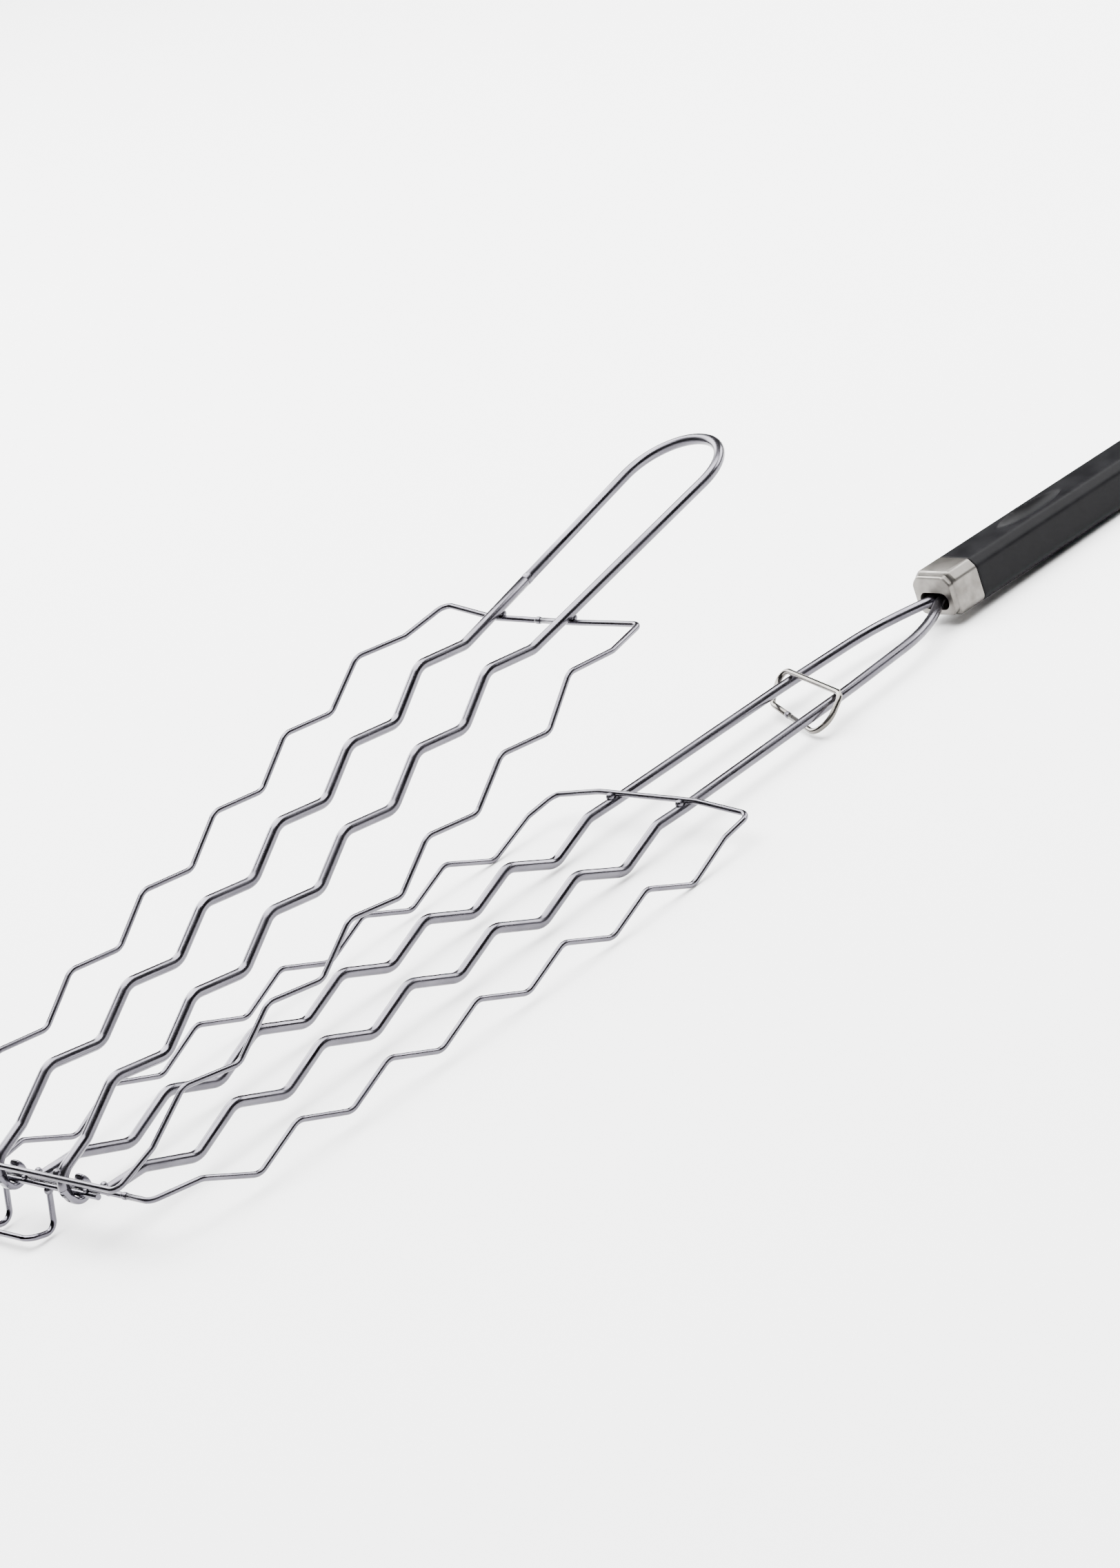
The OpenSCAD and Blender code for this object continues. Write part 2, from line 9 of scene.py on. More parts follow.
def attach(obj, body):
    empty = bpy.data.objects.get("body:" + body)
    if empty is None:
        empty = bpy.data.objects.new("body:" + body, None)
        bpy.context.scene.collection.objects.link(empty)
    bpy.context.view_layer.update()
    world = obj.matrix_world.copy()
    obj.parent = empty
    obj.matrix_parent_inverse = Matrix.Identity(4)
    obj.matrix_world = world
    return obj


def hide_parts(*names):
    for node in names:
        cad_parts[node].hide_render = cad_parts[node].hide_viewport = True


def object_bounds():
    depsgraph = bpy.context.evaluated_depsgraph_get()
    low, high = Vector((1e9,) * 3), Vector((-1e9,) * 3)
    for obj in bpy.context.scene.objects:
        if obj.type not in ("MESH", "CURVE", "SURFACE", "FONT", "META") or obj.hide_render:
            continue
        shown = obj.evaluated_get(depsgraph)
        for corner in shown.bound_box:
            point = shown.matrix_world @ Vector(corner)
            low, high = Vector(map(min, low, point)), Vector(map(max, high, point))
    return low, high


bl_info = {
    "name": "Grill Basket",
    "version": (1, 0, 0),
    "blender": (4, 5, 0),
    "location": "3D View > Sidebar > Grill Basket",
    "description": "Builds the hinged wire grill basket, its grip and its studio on the packed frame",
    "category": "Object",
}

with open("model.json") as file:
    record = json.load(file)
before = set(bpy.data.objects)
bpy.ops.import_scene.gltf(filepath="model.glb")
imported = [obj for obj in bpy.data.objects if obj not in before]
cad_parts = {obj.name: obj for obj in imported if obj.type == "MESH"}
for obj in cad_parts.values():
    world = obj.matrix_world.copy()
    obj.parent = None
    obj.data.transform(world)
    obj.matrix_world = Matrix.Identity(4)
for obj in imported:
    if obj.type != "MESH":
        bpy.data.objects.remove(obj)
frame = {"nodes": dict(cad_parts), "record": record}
CAD_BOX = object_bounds()
MM = 0.001
LOWER, UPPER, LATCH = "lower_half", "upper_half", "latch"
POCKETS = 6


def length(name, text, value, low=0.0):
    """A length property in metres, given in millimetres."""
    return bpy.props.FloatProperty(
        name=name, description=text, default=value * MM, min=low,
        subtype="DISTANCE", unit="LENGTH", precision=4,
    )


def angle(name, text, degrees):
    """An angle property in radians, given in degrees."""
    return bpy.props.FloatProperty(
        name=name, description=text, default=math.radians(degrees), subtype="ANGLE", unit="ROTATION"
    )


# ---------------------------------------------------------------- settings


class BasketWireSizes(bpy.types.PropertyGroup):
    thick: length("Thick wire", "Diameter of the shaft and grid wires", 5.0)
    thin: length("Thin wire", "Diameter of the frame wire", 2.7)
    ring: length("Ring wire", "Diameter of the slide ring's wire", 2.8)
    thick_bend: length("Thick bend", "Centre line bend radius of the thick wire", 9.0)
    thin_bend: length("Thin bend", "Centre line bend radius of the thin wire", 7.0)
    corner_bend: length("Corner bend", "Bend of the frames' corners", 5.0)
    rise_bend: length("Rise bend", "Bend where a rear edge meets the crossing over the thick wires", 30.0)
    touch: length("Touch", "Air between wires that a weld joins", 0.02)
    joint_gap: length("Joint gap", "Half the gap inside a butt weld", 0.3)


class BasketGridSizes(bpy.types.PropertyGroup):
    pitch: length("Pocket pitch", "Length of one food pocket", 50.2)
    depth: length("Pocket depth", "Depth of one food pocket", 10.5)
    bow: length("Bow", "How far the middle of a grid bows toward the food", 2.6)
    front_run: length("Front run", "Flat run behind the front rail", 21.7)
    rear_run: length("Rear run", "Flat run before the rear edge", 17.6)
    upper_rear_run: length("Upper rear run", "The same run on the upper half", 22.6)
    first_drop: length("First drop", "Drop of the lower frame's first bend", 0.8)
    rear_inset: length("Rear inset", "How much narrower the upper rear edge is on its right", 5)
    rear_skew: length("Rear skew", "How much further back its left corner lies", 3.5)
    spread: length("Wire spread", "Half the distance between the thick wires", 23.1)
    drop: length("Drop", "Drop of the inner bends below the front rail", 3.55)
    lift: length("Thick lift", "How much nearer the food the thick wires lie", 2.45)
    lower_widths: bpy.props.FloatVectorProperty(
        name="Lower half widths", description="Rear edge, widest pocket, first pocket and front rail",
        size=4, default=(0.065, 0.068, 0.063, 0.056), subtype="NONE", unit="LENGTH", precision=4)
    upper_widths: bpy.props.FloatVectorProperty(
        name="Upper half widths", description="Rear edge, widest pocket, first pocket and front rail",
        size=4, default=(0.069, 0.074, 0.064, 0.060), subtype="NONE", unit="LENGTH", precision=4)
    frame_shift: length("Frame shift", "Sideways offset of the upper frame from its thick wires", 7.0)
    corner_drop: length("Corner drop", "Drop of the lower frame's rear corners below the rail", 1.2)
    lower_over: length("Lower crossing", "Straight of the lower rear edge outside the thick wires", 9)
    upper_over: length("Upper crossing", "Straight of the upper rear edge outside the thick wires", 4)
    lower_joint: length("Lower joint", "Butt weld's distance from the middle of the front rail", 39)
    upper_joint: length("Upper joint", "The same, on the upper rear edge", -3.4, -0.1)
    left_rise: length("Left rise", "Rise of the upper left rear corner over the crossing", 3)
    right_rise: length("Right rise", "Rise of the upper right rear corner over the crossing", 1.2)


class BasketHingeSizes(bpy.types.PropertyGroup):
    opened: angle("Opening", "Angle between the halves at rest", 15)
    shift: length("Shift", "Sideways offset of the upper half", -16.8, -1.0)
    rise: length("Rise", "Height of the upper front rail over the hinge axis", 11.8)
    lead: length("Lead", "Distance of the upper front rail in front of the hinge axis", 5.4)
    hook_gap: length("Hook gap", "Running clearance of the hooks", 0.35)
    hook_thick: length("Hook thickness", "Thickness of the pressed hook", 3.2)
    hook_wide: length("Hook width", "Width of the pressed hook", 6.0)
    wrap: angle("Wrap", "Angle that a hook turns round the hinge", 225)
    turn_in: length("Turn in", "How much higher than wire on wire the lead turns into the grid", 1.85)
    press_run: length("Press run", "Length of the round wire's change to the flat hook", 1.5)
    hook_straight: length("Hook straight", "Straight of the hook above the hinge axis", 3.3)


class BasketShaftSizes(bpy.types.PropertyGroup):
    reach: length("Reach", "Rods from the rear edge to the ferrule's mouth", 197.5)
    slope: bpy.props.FloatProperty(name="Slope", description="Rise of the rods for a length of one",
                                   default=0.025)
    waist: length("Waist", "Half the distance of the rods where they start to meet", 17.0)
    hip: length("Hip", "Half the distance of the rods at the ring", 21.2)
    taper: length("Taper", "Length over which the rods meet", 26.5)
    tang: length("Tang", "Length of the rods inside the ferrule and grip", 62)
    tang_gap: length("Tang gap", "Half the air between the rods in the ferrule", 0.2)
    mouth_rise: length("Mouth rise", "Rise of the rods over their taper", 2.0)
    mouth_lead: length("Mouth lead", "How far before the mouth the rods turn straight", 1.0)
    rear_bend: length("Rear bend", "Bend of the rods at the rear edge", 60)
    hip_bend: length("Hip bend", "Bend of the rods at the ring", 200)
    waist_bend: length("Waist bend", "Bend of the rods where they start to meet", 80)
    mouth_bend: length("Mouth bend", "Bend of the rods at the ferrule's mouth", 12)
    lift_length: length("Lift handle", "Length of the lift handle behind the last pocket", 142.7)
    lift_left: length("Lift left", "Half width of the lift handle's end on the left", 19.8)
    lift_right: length("Lift right", "Half width of the lift handle's end on the right", 37.2)
    lift_bend: length("Lift bend", "Bend of the lift handle's end", 27)
    lift_joint: length("Lift joint", "Distance of the butt weld behind the last pocket", 45)


class BasketGripSizes(bpy.types.PropertyGroup):
    width: length("Width", "Width of the ferrule and grip", 27)
    height: length("Height", "Height of the ferrule and grip", 22)
    ferrule: length("Ferrule", "Length of the ferrule", 19)
    nose: length("Nose", "How far the ferrule stands in front of its mouth", 2)
    axis_rise: length("Axis rise", "Height of the grip's axis over the rods", 2.6)
    fit_gap: length("Fit gap", "Air between the ferrule and the grip", 0.02)
    mouth_side: length("Mouth side", "Wall beside the ferrule's mouth", 5)
    mouth_room: length("Mouth room", "Air over and under the rods in the mouth", 1.5)
    ferrule_edge: length("Ferrule edge", "Softening of the ferrule's long edges", 1.4)
    grip_edge: length("Grip edge", "Softening of the grip's long edges", 1.5)
    end_round: length("End round", "Rounding of the grip's end", 4)
    grip: length("Grip", "Length of the grip", 150)
    chamfer: length("Chamfer", "Chamfer on the long edges", 4)
    scoop_place: length("Scoop place", "Middle of the thumb scoop behind the ferrule", 54)
    scoop_length: length("Scoop", "Length of the thumb scoop", 60)
    scoop_half: length("Scoop round", "Largest radius of the scoop's spindle", 7.5)
    scoop_raise: length("Scoop raise", "Height of the spindle's axis over the top face", 3.2)
    hole_radius: length("Hole", "Radius of the hanging hole", 4)
    hole_inset: length("Hole inset", "Distance of the hanging hole from the end", 13)


class BasketRingSizes(bpy.types.PropertyGroup):
    width: length("Width", "Width of the ring across its top bar", 60)
    height: length("Height", "Height of the ring", 22)
    place: length("Place", "Distance of the ring behind the rear edge", 110)
    lean: angle("Lean", "Forward lean of the ring", 52)
    yaw: angle("Yaw", "Turn of the ring about the upright", 18)
    gap: length("Gap", "Air between the ring's top bar and the rods", 0.3)
    low_bend: length("Low bend", "Bend of the ring's lower right side", 9)
    top_bend: length("Top bend", "Bend of the ring's top corners", 5)
    left_bend: length("Left bend", "Bend of the ring's lower left corner", 6)


class BasketStageSettings(bpy.types.PropertyGroup):
    floor: length("Floor", "Side of the square floor", 14000)
    camera_place: bpy.props.FloatVectorProperty(
        name="Camera place", description="Where the camera stands, from the lower front rail", size=3,
        default=(1.6178, -0.8916, 0.7490), subtype="TRANSLATION", unit="LENGTH")
    camera_turn: bpy.props.FloatVectorProperty(
        name="Camera turn", description="How the camera is turned", size=3,
        default=tuple(math.radians(a) for a in (69.277, 17.812, 47.081)), subtype="EULER", unit="ROTATION")
    lens: bpy.props.FloatProperty(name="Lens", description="Focal length in millimetres", default=112.46)


SETTINGS = {
    "basket_wire": BasketWireSizes,
    "basket_grid": BasketGridSizes,
    "basket_hinge": BasketHingeSizes,
    "basket_shaft": BasketShaftSizes,
    "basket_grip": BasketGripSizes,
    "basket_ring": BasketRingSizes,
    "basket_stage": BasketStageSettings,
}


# ---------------------------------------------------------------- places


class Layout:
    """The places of the basket's pieces, worked out from the driving sizes as the frame's source does."""

    def __init__(self, scene):
        wire, grid, hinge = scene.basket_wire, scene.basket_grid, scene.basket_hinge
        shaft, grip, ring = scene.basket_shaft, scene.basket_grip, scene.basket_ring
        self.wire, self.grid, self.hinge = wire, grid, hinge
        self.shaft, self.grip, self.ring = shaft, grip, ring
        self.thick_r, self.thin_r, self.ring_r = wire.thick / 2, wire.thin / 2, wire.ring / 2
        self.grid_length = POCKETS * grid.pitch
        self.last_bend = grid.front_run + self.grid_length
        self.rear = self.last_bend + grid.rear_run
        self.mid = grid.front_run + self.grid_length / 2
        self.bar_step = (wire.thin + wire.touch) / math.sqrt(2)
        self.hinge_y = self.hinge_z = -self.bar_step / 2
        pair_r = self.thin_r + self.bar_step / math.sqrt(2)
        self.hook_r = pair_r + hinge.hook_gap + hinge.hook_thick / 2
        self.rod_z = grid.lift - grid.drop
        self.taper_y = self.rear + shaft.reach - shaft.taper
        self.mouth_y = self.rear + shaft.reach
        self.mouth_half = self.thick_r + shaft.tang_gap
        self.taper_rise = shaft.slope * (self.taper_y - self.rear)
        self.mouth_z = self.rod_z + self.taper_rise + shaft.mouth_rise
        self.grip_axis_z = self.mouth_z + grip.axis_rise
        self.grip_y = self.mouth_y + grip.ferrule - grip.nose
        self.grip_end = self.grip_y + grip.grip
        # The frame stands the part up: the hanging hole and the grip's box give that pose.
        hole = Vector(frame["record"]["mounts"][0]["pos_m"])
        joints = frame["record"]["behaviour"]["joints"]
        pivot = Vector(next(joint for joint in joints if joint["type"] == "hinge")["pos_m"])
        here = Vector((0, self.grip_end - grip.hole_inset, self.grip_axis_z))
        there = Vector((hinge.shift, self.hinge_y, self.hinge_z))
        run, drawn = hole - pivot, here - there
        pitch = math.atan2(run.z, run.y) - math.atan2(drawn.z, drawn.y)
        turn = Matrix.Rotation(pitch, 4, "X")
        self.stand = Matrix.Translation(hole - turn @ here) @ turn
        self.upper = (
            self.stand
            @ Matrix.Translation((0, self.hinge_y, self.hinge_z))
            @ Matrix.Rotation(hinge.opened, 4, "X")
            @ Matrix.Translation((hinge.shift, -hinge.lead, hinge.rise))
        )

    def bend_y(self, j):
        return self.grid.front_run + j * self.grid.pitch / 2

    def bend_drop(self, j):
        bow = self.grid.bow * (((self.bend_y(j) - self.mid) / (self.grid_length / 2)) ** 2 - 1)
        return self.grid.drop + (j % 2) * self.grid.depth + bow

    def half_width(self, y, widths):
        rear, wide, narrow, front = widths
        grid = self.grid
        if y > self.last_bend - grid.pitch:
            return wide + (rear - wide) * (y - self.last_bend + grid.pitch) / (grid.pitch + grid.rear_run)
        if y >= grid.front_run:
            share = (self.last_bend - grid.pitch - y) / (self.grid_length - grid.pitch)
            return wide - (wide - narrow) * share**2
        return narrow + (front - narrow) * (grid.front_run - y) / grid.front_run

    def frame_side(self, side, flip, first, widths):
        return [
            Vector((side * self.half_width(self.bend_y(j), widths), self.bend_y(j),
                    -flip * (self.bend_drop(j) if j else first)))
            for j in range(2 * POCKETS + 1)
        ]

    def grid_run(self, x, flip):
        return [
            Vector((x, self.bend_y(j), -flip * (self.bend_drop(j) - self.grid.lift)))
            for j in range(2 * POCKETS + 1)
        ]


# ---------------------------------------------------------------- mesh helpers


def heading(points, i):
    return (points[i + 1] - points[i]).normalized()


def wire_rings(points, bends, step=math.radians(6)):
    """Centre and direction of each ring along a wire that is bent to the given radii."""
    rings = [(points[0], heading(points, 0))]
    for i in range(1, len(points) - 1):
        u, v = heading(points, i - 1), heading(points, i)
        turned = u.angle(v)
        if turned < 0.001:
            rings.append((points[i], u))
            continue
        inward = (v - v.dot(u) * u).normalized()
        bend = bends[i] if isinstance(bends, list) else bends
        centre = points[i] - bend * math.tan(turned / 2) * u + bend * inward
        steps = math.ceil(turned / step)
        for k in range(steps + 1):
            a = turned * k / steps
            rings.append((
                centre - bend * math.cos(a) * inward + bend * math.sin(a) * u,
                math.cos(a) * u + math.sin(a) * inward,
            ))
    rings.append((points[-1], heading(points, len(points) - 2)))
    return rings


def tube_mesh(name, rings, radius, sides=24, edge=0.0004):
    """A round wire skinned over its rings, with softened cut ends and a map of length and turn."""
    first, last = rings[0], rings[-1]
    stations = [(first[0], first[1], radius - edge)]
    stations += [(first[0] + edge * first[1], first[1], radius)]
    stations += [(c, t, radius) for c, t in rings[1:-1]]
    stations += [(last[0] - edge * last[1], last[1], radius), (last[0], last[1], radius - edge)]
    mesh = bmesh.new()
    layer = mesh.loops.layers.uv.new("Wire")
    side = first[1].orthogonal().normalized()
    loops, along, run = [], [], 0.0
    for k, (c, t, r) in enumerate(stations):
        side = (side - side.dot(t) * t).normalized()
        other = t.cross(side)
        if k:
            run += (c - stations[k - 1][0]).length
        along.append(run)
        loops.append([
            mesh.verts.new(c + r * (math.cos(w) * side + math.sin(w) * other))
            for w in (2 * math.pi * m / sides for m in range(sides))
        ])
    for k in range(len(loops) - 1):
        for m in range(sides):
            n = (m + 1) % sides
            face = mesh.faces.new((loops[k][m], loops[k][n], loops[k + 1][n], loops[k + 1][m]))
            face.smooth = True
            spots = ((along[k], m), (along[k], m + 1), (along[k + 1], m + 1), (along[k + 1], m))
            for corner, (length_m, turn) in zip(face.loops, spots):
                corner[layer].uv = (length_m, turn / sides)
    mesh.faces.new(list(reversed(loops[0])))
    mesh.faces.new(loops[-1])
    return finished_object(name, mesh)


def finished_object(name, mesh):
    data = bpy.data.meshes.new(name)
    mesh.to_mesh(data)
    mesh.free()
    obj = bpy.data.objects.new(name, data)
    bpy.context.scene.collection.objects.link(obj)
    return obj


def place(obj, matrix, body, material, slot, *nodes):
    """Moves the mesh to its place, dresses it and ties it to its body."""
    obj.data.transform(matrix)
    obj.data.materials.append(material)
    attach(obj, body)
    if nodes:
        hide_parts(*nodes)
    return obj


def smooth_by_angle(obj, degrees):
    """Smooth faces, with sharp edges where the surface turns by more than the angle."""
    mesh = bmesh.new()
    mesh.from_mesh(obj.data)
    for face in mesh.faces:
        face.smooth = True
    for edge in mesh.edges:
        edge.smooth = len(edge.link_faces) == 2 and edge.calc_face_angle(0.0) < math.radians(degrees)
    mesh.to_mesh(obj.data)
    mesh.free()


# ---------------------------------------------------------------- materials


def tint(text):
    """sRGB hex to linear colour."""
    channels = [int(text[i : i + 2], 16) / 255 for i in (1, 3, 5)]
    return [c / 12.92 if c <= 0.04045 else ((c + 0.055) / 1.055) ** 2.4 for c in channels] + [1.0]


def add(tree, kind, settings=None, links=None):
    """Adds a node, sets its properties and inputs, and links its inputs."""
    made = tree.nodes.new(kind)
    for key, value in (settings or {}).items():
        if isinstance(key, str) and hasattr(made, key):
            setattr(made, key, value)
        else:
            made.inputs[key].default_value = value
    for key, source in (links or {}).items():
        tree.links.new(source, made.inputs[key])
    return made


def new_material(name):
    material = bpy.data.materials.new(name)
    material.use_nodes = True
    tree = material.node_tree
    tree.nodes.clear()
    return material, tree


def ramp(tree, source, low, high, from_low, from_high):
    return add(
        tree, "ShaderNodeMapRange",
        {"From Min": from_low, "From Max": from_high, "To Min": low, "To Max": high}, {"Value": source},
    ).outputs["Result"]


def blend_colour(tree, share, first, second):
    mixed = add(tree, "ShaderNodeMix", {"data_type": "RGBA"})
    mixed.inputs[6].default_value, mixed.inputs[7].default_value = tint(first), tint(second)
    tree.links.new(share, mixed.inputs[0])
    return mixed.outputs[2]


def noise(tree, spot, scale, detail):
    """Noise over the given coordinates."""
    made = add(tree, "ShaderNodeTexNoise", {"Scale": scale, "Detail": detail}, {"Vector": spot})
    return made.outputs["Fac"]


def bumped(tree, height, strength, distance, under=None):
    """Normal of a fine relief, laid over another one if given."""
    links = {"Height": height}
    if under is not None:
        links["Normal"] = under
    return add(tree, "ShaderNodeBump", {"Strength": strength, "Distance": distance}, links).outputs["Normal"]


def surface(tree, metallic, colour, roughness, normal, settings=None):
    """Principled surface wired to the output."""
    shader = add(tree, "ShaderNodeBsdfPrincipled", {"Metallic": metallic, **(settings or {})},
                 {"Base Color": colour, "Roughness": roughness, "Normal": normal})
    add(tree, "ShaderNodeOutputMaterial", links={"Surface": shader.outputs["BSDF"]})


def plated_wire(name, bright, dull, polish, mapped=True):
    """Plated drawn wire: fine draw lines along it, slow changes of polish and faint stains."""
    material, tree = new_material(name)
    spot = add(tree, "ShaderNodeTexCoord").outputs
    slow, fine = noise(tree, spot["Object"], 55.0, 3.0), noise(tree, spot["Object"], 900.0, 2.0)
    lines = fine
    if mapped:
        stretch = add(tree, "ShaderNodeMapping", {"Scale": (90.0, 46.0, 1.0)}, {"Vector": spot["UV"]})
        lines = add(tree, "ShaderNodeTexNoise", {"Scale": 1.0, "Detail": 3.0, "Roughness": 0.6},
                    {"Vector": stretch.outputs["Vector"]}).outputs["Fac"]
    colour = blend_colour(tree, ramp(tree, slow, 0.0, 1.0, 0.35, 0.7), bright, dull)
    polish_map = ramp(tree, slow, polish * 0.8, polish * 1.5, 0.3, 0.75)
    drawn = bumped(tree, lines, 0.03, 0.00001)
    surface(tree, 1.0, colour, polish_map, bumped(tree, fine, 0.02, 0.00001, drawn))
    return material


def weld_metal(name):
    """Plated weld bead: rippled and a little duller than the wire."""
    material, tree = new_material(name)
    ripple = noise(tree, add(tree, "ShaderNodeTexCoord").outputs["Object"], 700.0, 4.0)
    colour = blend_colour(tree, ripple, "#66646A", "#4C4A50")
    surface(tree, 1.0, colour, ramp(tree, ripple, 0.2, 0.45, 0.3, 0.7), bumped(tree, ripple, 0.5, 0.0002))
    return material


def cast_zinc(name):
    """Satin plated zinc casting with a fine grain."""
    material, tree = new_material(name)
    spot = add(tree, "ShaderNodeTexCoord").outputs["Object"]
    grain, cloud = noise(tree, spot, 2600.0, 2.0), noise(tree, spot, 120.0, 3.0)
    colour = blend_colour(tree, ramp(tree, cloud, 0.0, 1.0, 0.35, 0.7), "#76736F", "#5F5C58")
    surface(tree, 1.0, colour, ramp(tree, cloud, 0.30, 0.42, 0.3, 0.7), bumped(tree, grain, 0.25, 0.00005))
    return material


def moulded_phenolic(name):
    """Black phenolic moulding: fine spark-eroded grain, soft sheen, faint rub marks."""
    material, tree = new_material(name)
    spot = add(tree, "ShaderNodeTexCoord").outputs["Object"]
    grain, cloud = noise(tree, spot, 2200.0, 3.0), noise(tree, spot, 90.0, 3.0)
    colour = blend_colour(tree, ramp(tree, cloud, 0.0, 1.0, 0.35, 0.7), "#08080A", "#0E0E10")
    surface(tree, 0.0, colour, ramp(tree, cloud, 0.40, 0.52, 0.3, 0.7), bumped(tree, grain, 0.35, 0.00006),
            {"IOR": 1.5, "Specular IOR Level": 0.06})
    return material


def studio_floor(name):
    material, tree = new_material(name)
    spot = add(tree, "ShaderNodeTexCoord")
    cloud = add(tree, "ShaderNodeTexNoise", {"Scale": 3.0, "Detail": 2.0}, {"Vector": spot.outputs["Object"]})
    colour = blend_colour(tree, cloud.outputs["Fac"], "#F6F6F6", "#F2F2F2")
    shader = add(tree, "ShaderNodeBsdfPrincipled", {"Roughness": 0.85}, {"Base Color": colour})
    shader.inputs["Specular IOR Level"].default_value = 0.15
    add(tree, "ShaderNodeOutputMaterial", links={"Surface": shader.outputs["BSDF"]})
    return material


MAKERS = {
    "Nickel plated thick wire": lambda n: plated_wire(n, "#605E64", "#525056", 0.23),
    "Nickel plated thin wire": lambda n: plated_wire(n, "#5F5D63", "#504E54", 0.22),
    "Nickel plated ring wire": lambda n: plated_wire(n, "#6C6965", "#5B5854", 0.22),
    "Nickel plated hinge pieces": lambda n: plated_wire(n, "#65636A", "#56545B", 0.16, mapped=False),
    "Plated weld bead": weld_metal,
    "Satin cast zinc": cast_zinc,
    "Moulded phenolic": moulded_phenolic,
    "Matt studio floor": studio_floor,
}


def finish_of(name):
    return bpy.data.materials.get(name) or MAKERS[name](name)


# ---------------------------------------------------------------- operators


class BASKET_OT_lower_half(bpy.types.Operator):
    """Builds the lower frame wire and the two shaft rods, and gives the hinge bar, the foot loop and the
    welds their finish.
    """

    bl_idname = "basket.lower_half"
    bl_label = "Build lower half"

    def execute(self, context):
        lay = Layout(context.scene)
        wire, grid, shaft = lay.wire, lay.grid, lay.shaft
        widths = tuple(grid.lower_widths)
        over_z = lay.rod_z + lay.thick_r + lay.thin_r + wire.touch
        over_x = grid.spread + grid.lower_over
        seam = grid.lower_joint
        path = [Vector((seam + wire.joint_gap, 0, 0)), Vector((widths[3], 0, 0))]
        path += lay.frame_side(1, 1, grid.first_drop, widths)
        path += [Vector(p) for p in (
            (widths[0], lay.rear, -grid.corner_drop), (over_x, lay.rear, over_z),
            (-over_x, lay.rear, over_z), (-widths[0], lay.rear, -grid.corner_drop))]
        path += reversed(lay.frame_side(-1, 1, grid.first_drop, widths))
        path += [Vector((-widths[3], 0, 0)), Vector((seam - wire.joint_gap, 0, 0))]
        thin = finish_of("Nickel plated thin wire")
        grid_bends, corner = [wire.thin_bend] * (2 * POCKETS + 1), wire.corner_bend
        rear_bends = [corner, wire.rise_bend, wire.rise_bend, corner]
        bends = [0, corner] + grid_bends + rear_bends + grid_bends + [corner, 0]
        frame_wire = tube_mesh("Lower_frame_wire", wire_rings(path, bends), lay.thin_r)
        place(frame_wire, lay.stand, LOWER, thin, "thin_wire", "lower_frame")
        bends = [0] + [wire.thick_bend] * (2 * POCKETS + 1)
        bends += [shaft.rear_bend, shaft.hip_bend, shaft.waist_bend, shaft.mouth_bend, 0]
        hip_y = lay.rear + lay.ring.place
        for name, side in (("left", -1), ("right", 1)):
            path = [Vector((side * grid.spread, lay.thin_r + wire.touch, lay.rod_z))]
            path += lay.grid_run(side * grid.spread, 1)
            path += [Vector(p) for p in (
                (side * grid.spread, lay.rear, lay.rod_z),
                (side * shaft.hip, hip_y, lay.rod_z + shaft.slope * (hip_y - lay.rear)),
                (side * shaft.waist, lay.taper_y, lay.rod_z + lay.taper_rise),
                (side * lay.mouth_half, lay.mouth_y - shaft.mouth_lead, lay.mouth_z),
                (side * lay.mouth_half, lay.mouth_y + shaft.tang, lay.mouth_z))]
            rod = tube_mesh(f"Shaft_rod_{name}", wire_rings(path, bends), lay.thick_r, sides=32)
            place(rod, lay.stand, LOWER, finish_of("Nickel plated thick wire"), "thick_wire", f"rod_{name}")
        dress(("foot_loop", "hinge_bar"), "Nickel plated hinge pieces")
        dress(("lower_rear_welds", "lower_front_welds", "hinge_bar_welds", "foot_welds", "lower_frame_joint"),
              "Plated weld bead")
        return {"FINISHED"}


def dress(nodes, finish):
    """Gives carried-over frame pieces their finish."""
    for node in nodes:
        slots = frame["nodes"][node].material_slots
        for slot in slots:
            slot.material = finish_of(finish)
        if not len(slots):
            frame["nodes"][node].data.materials.append(finish_of(finish))


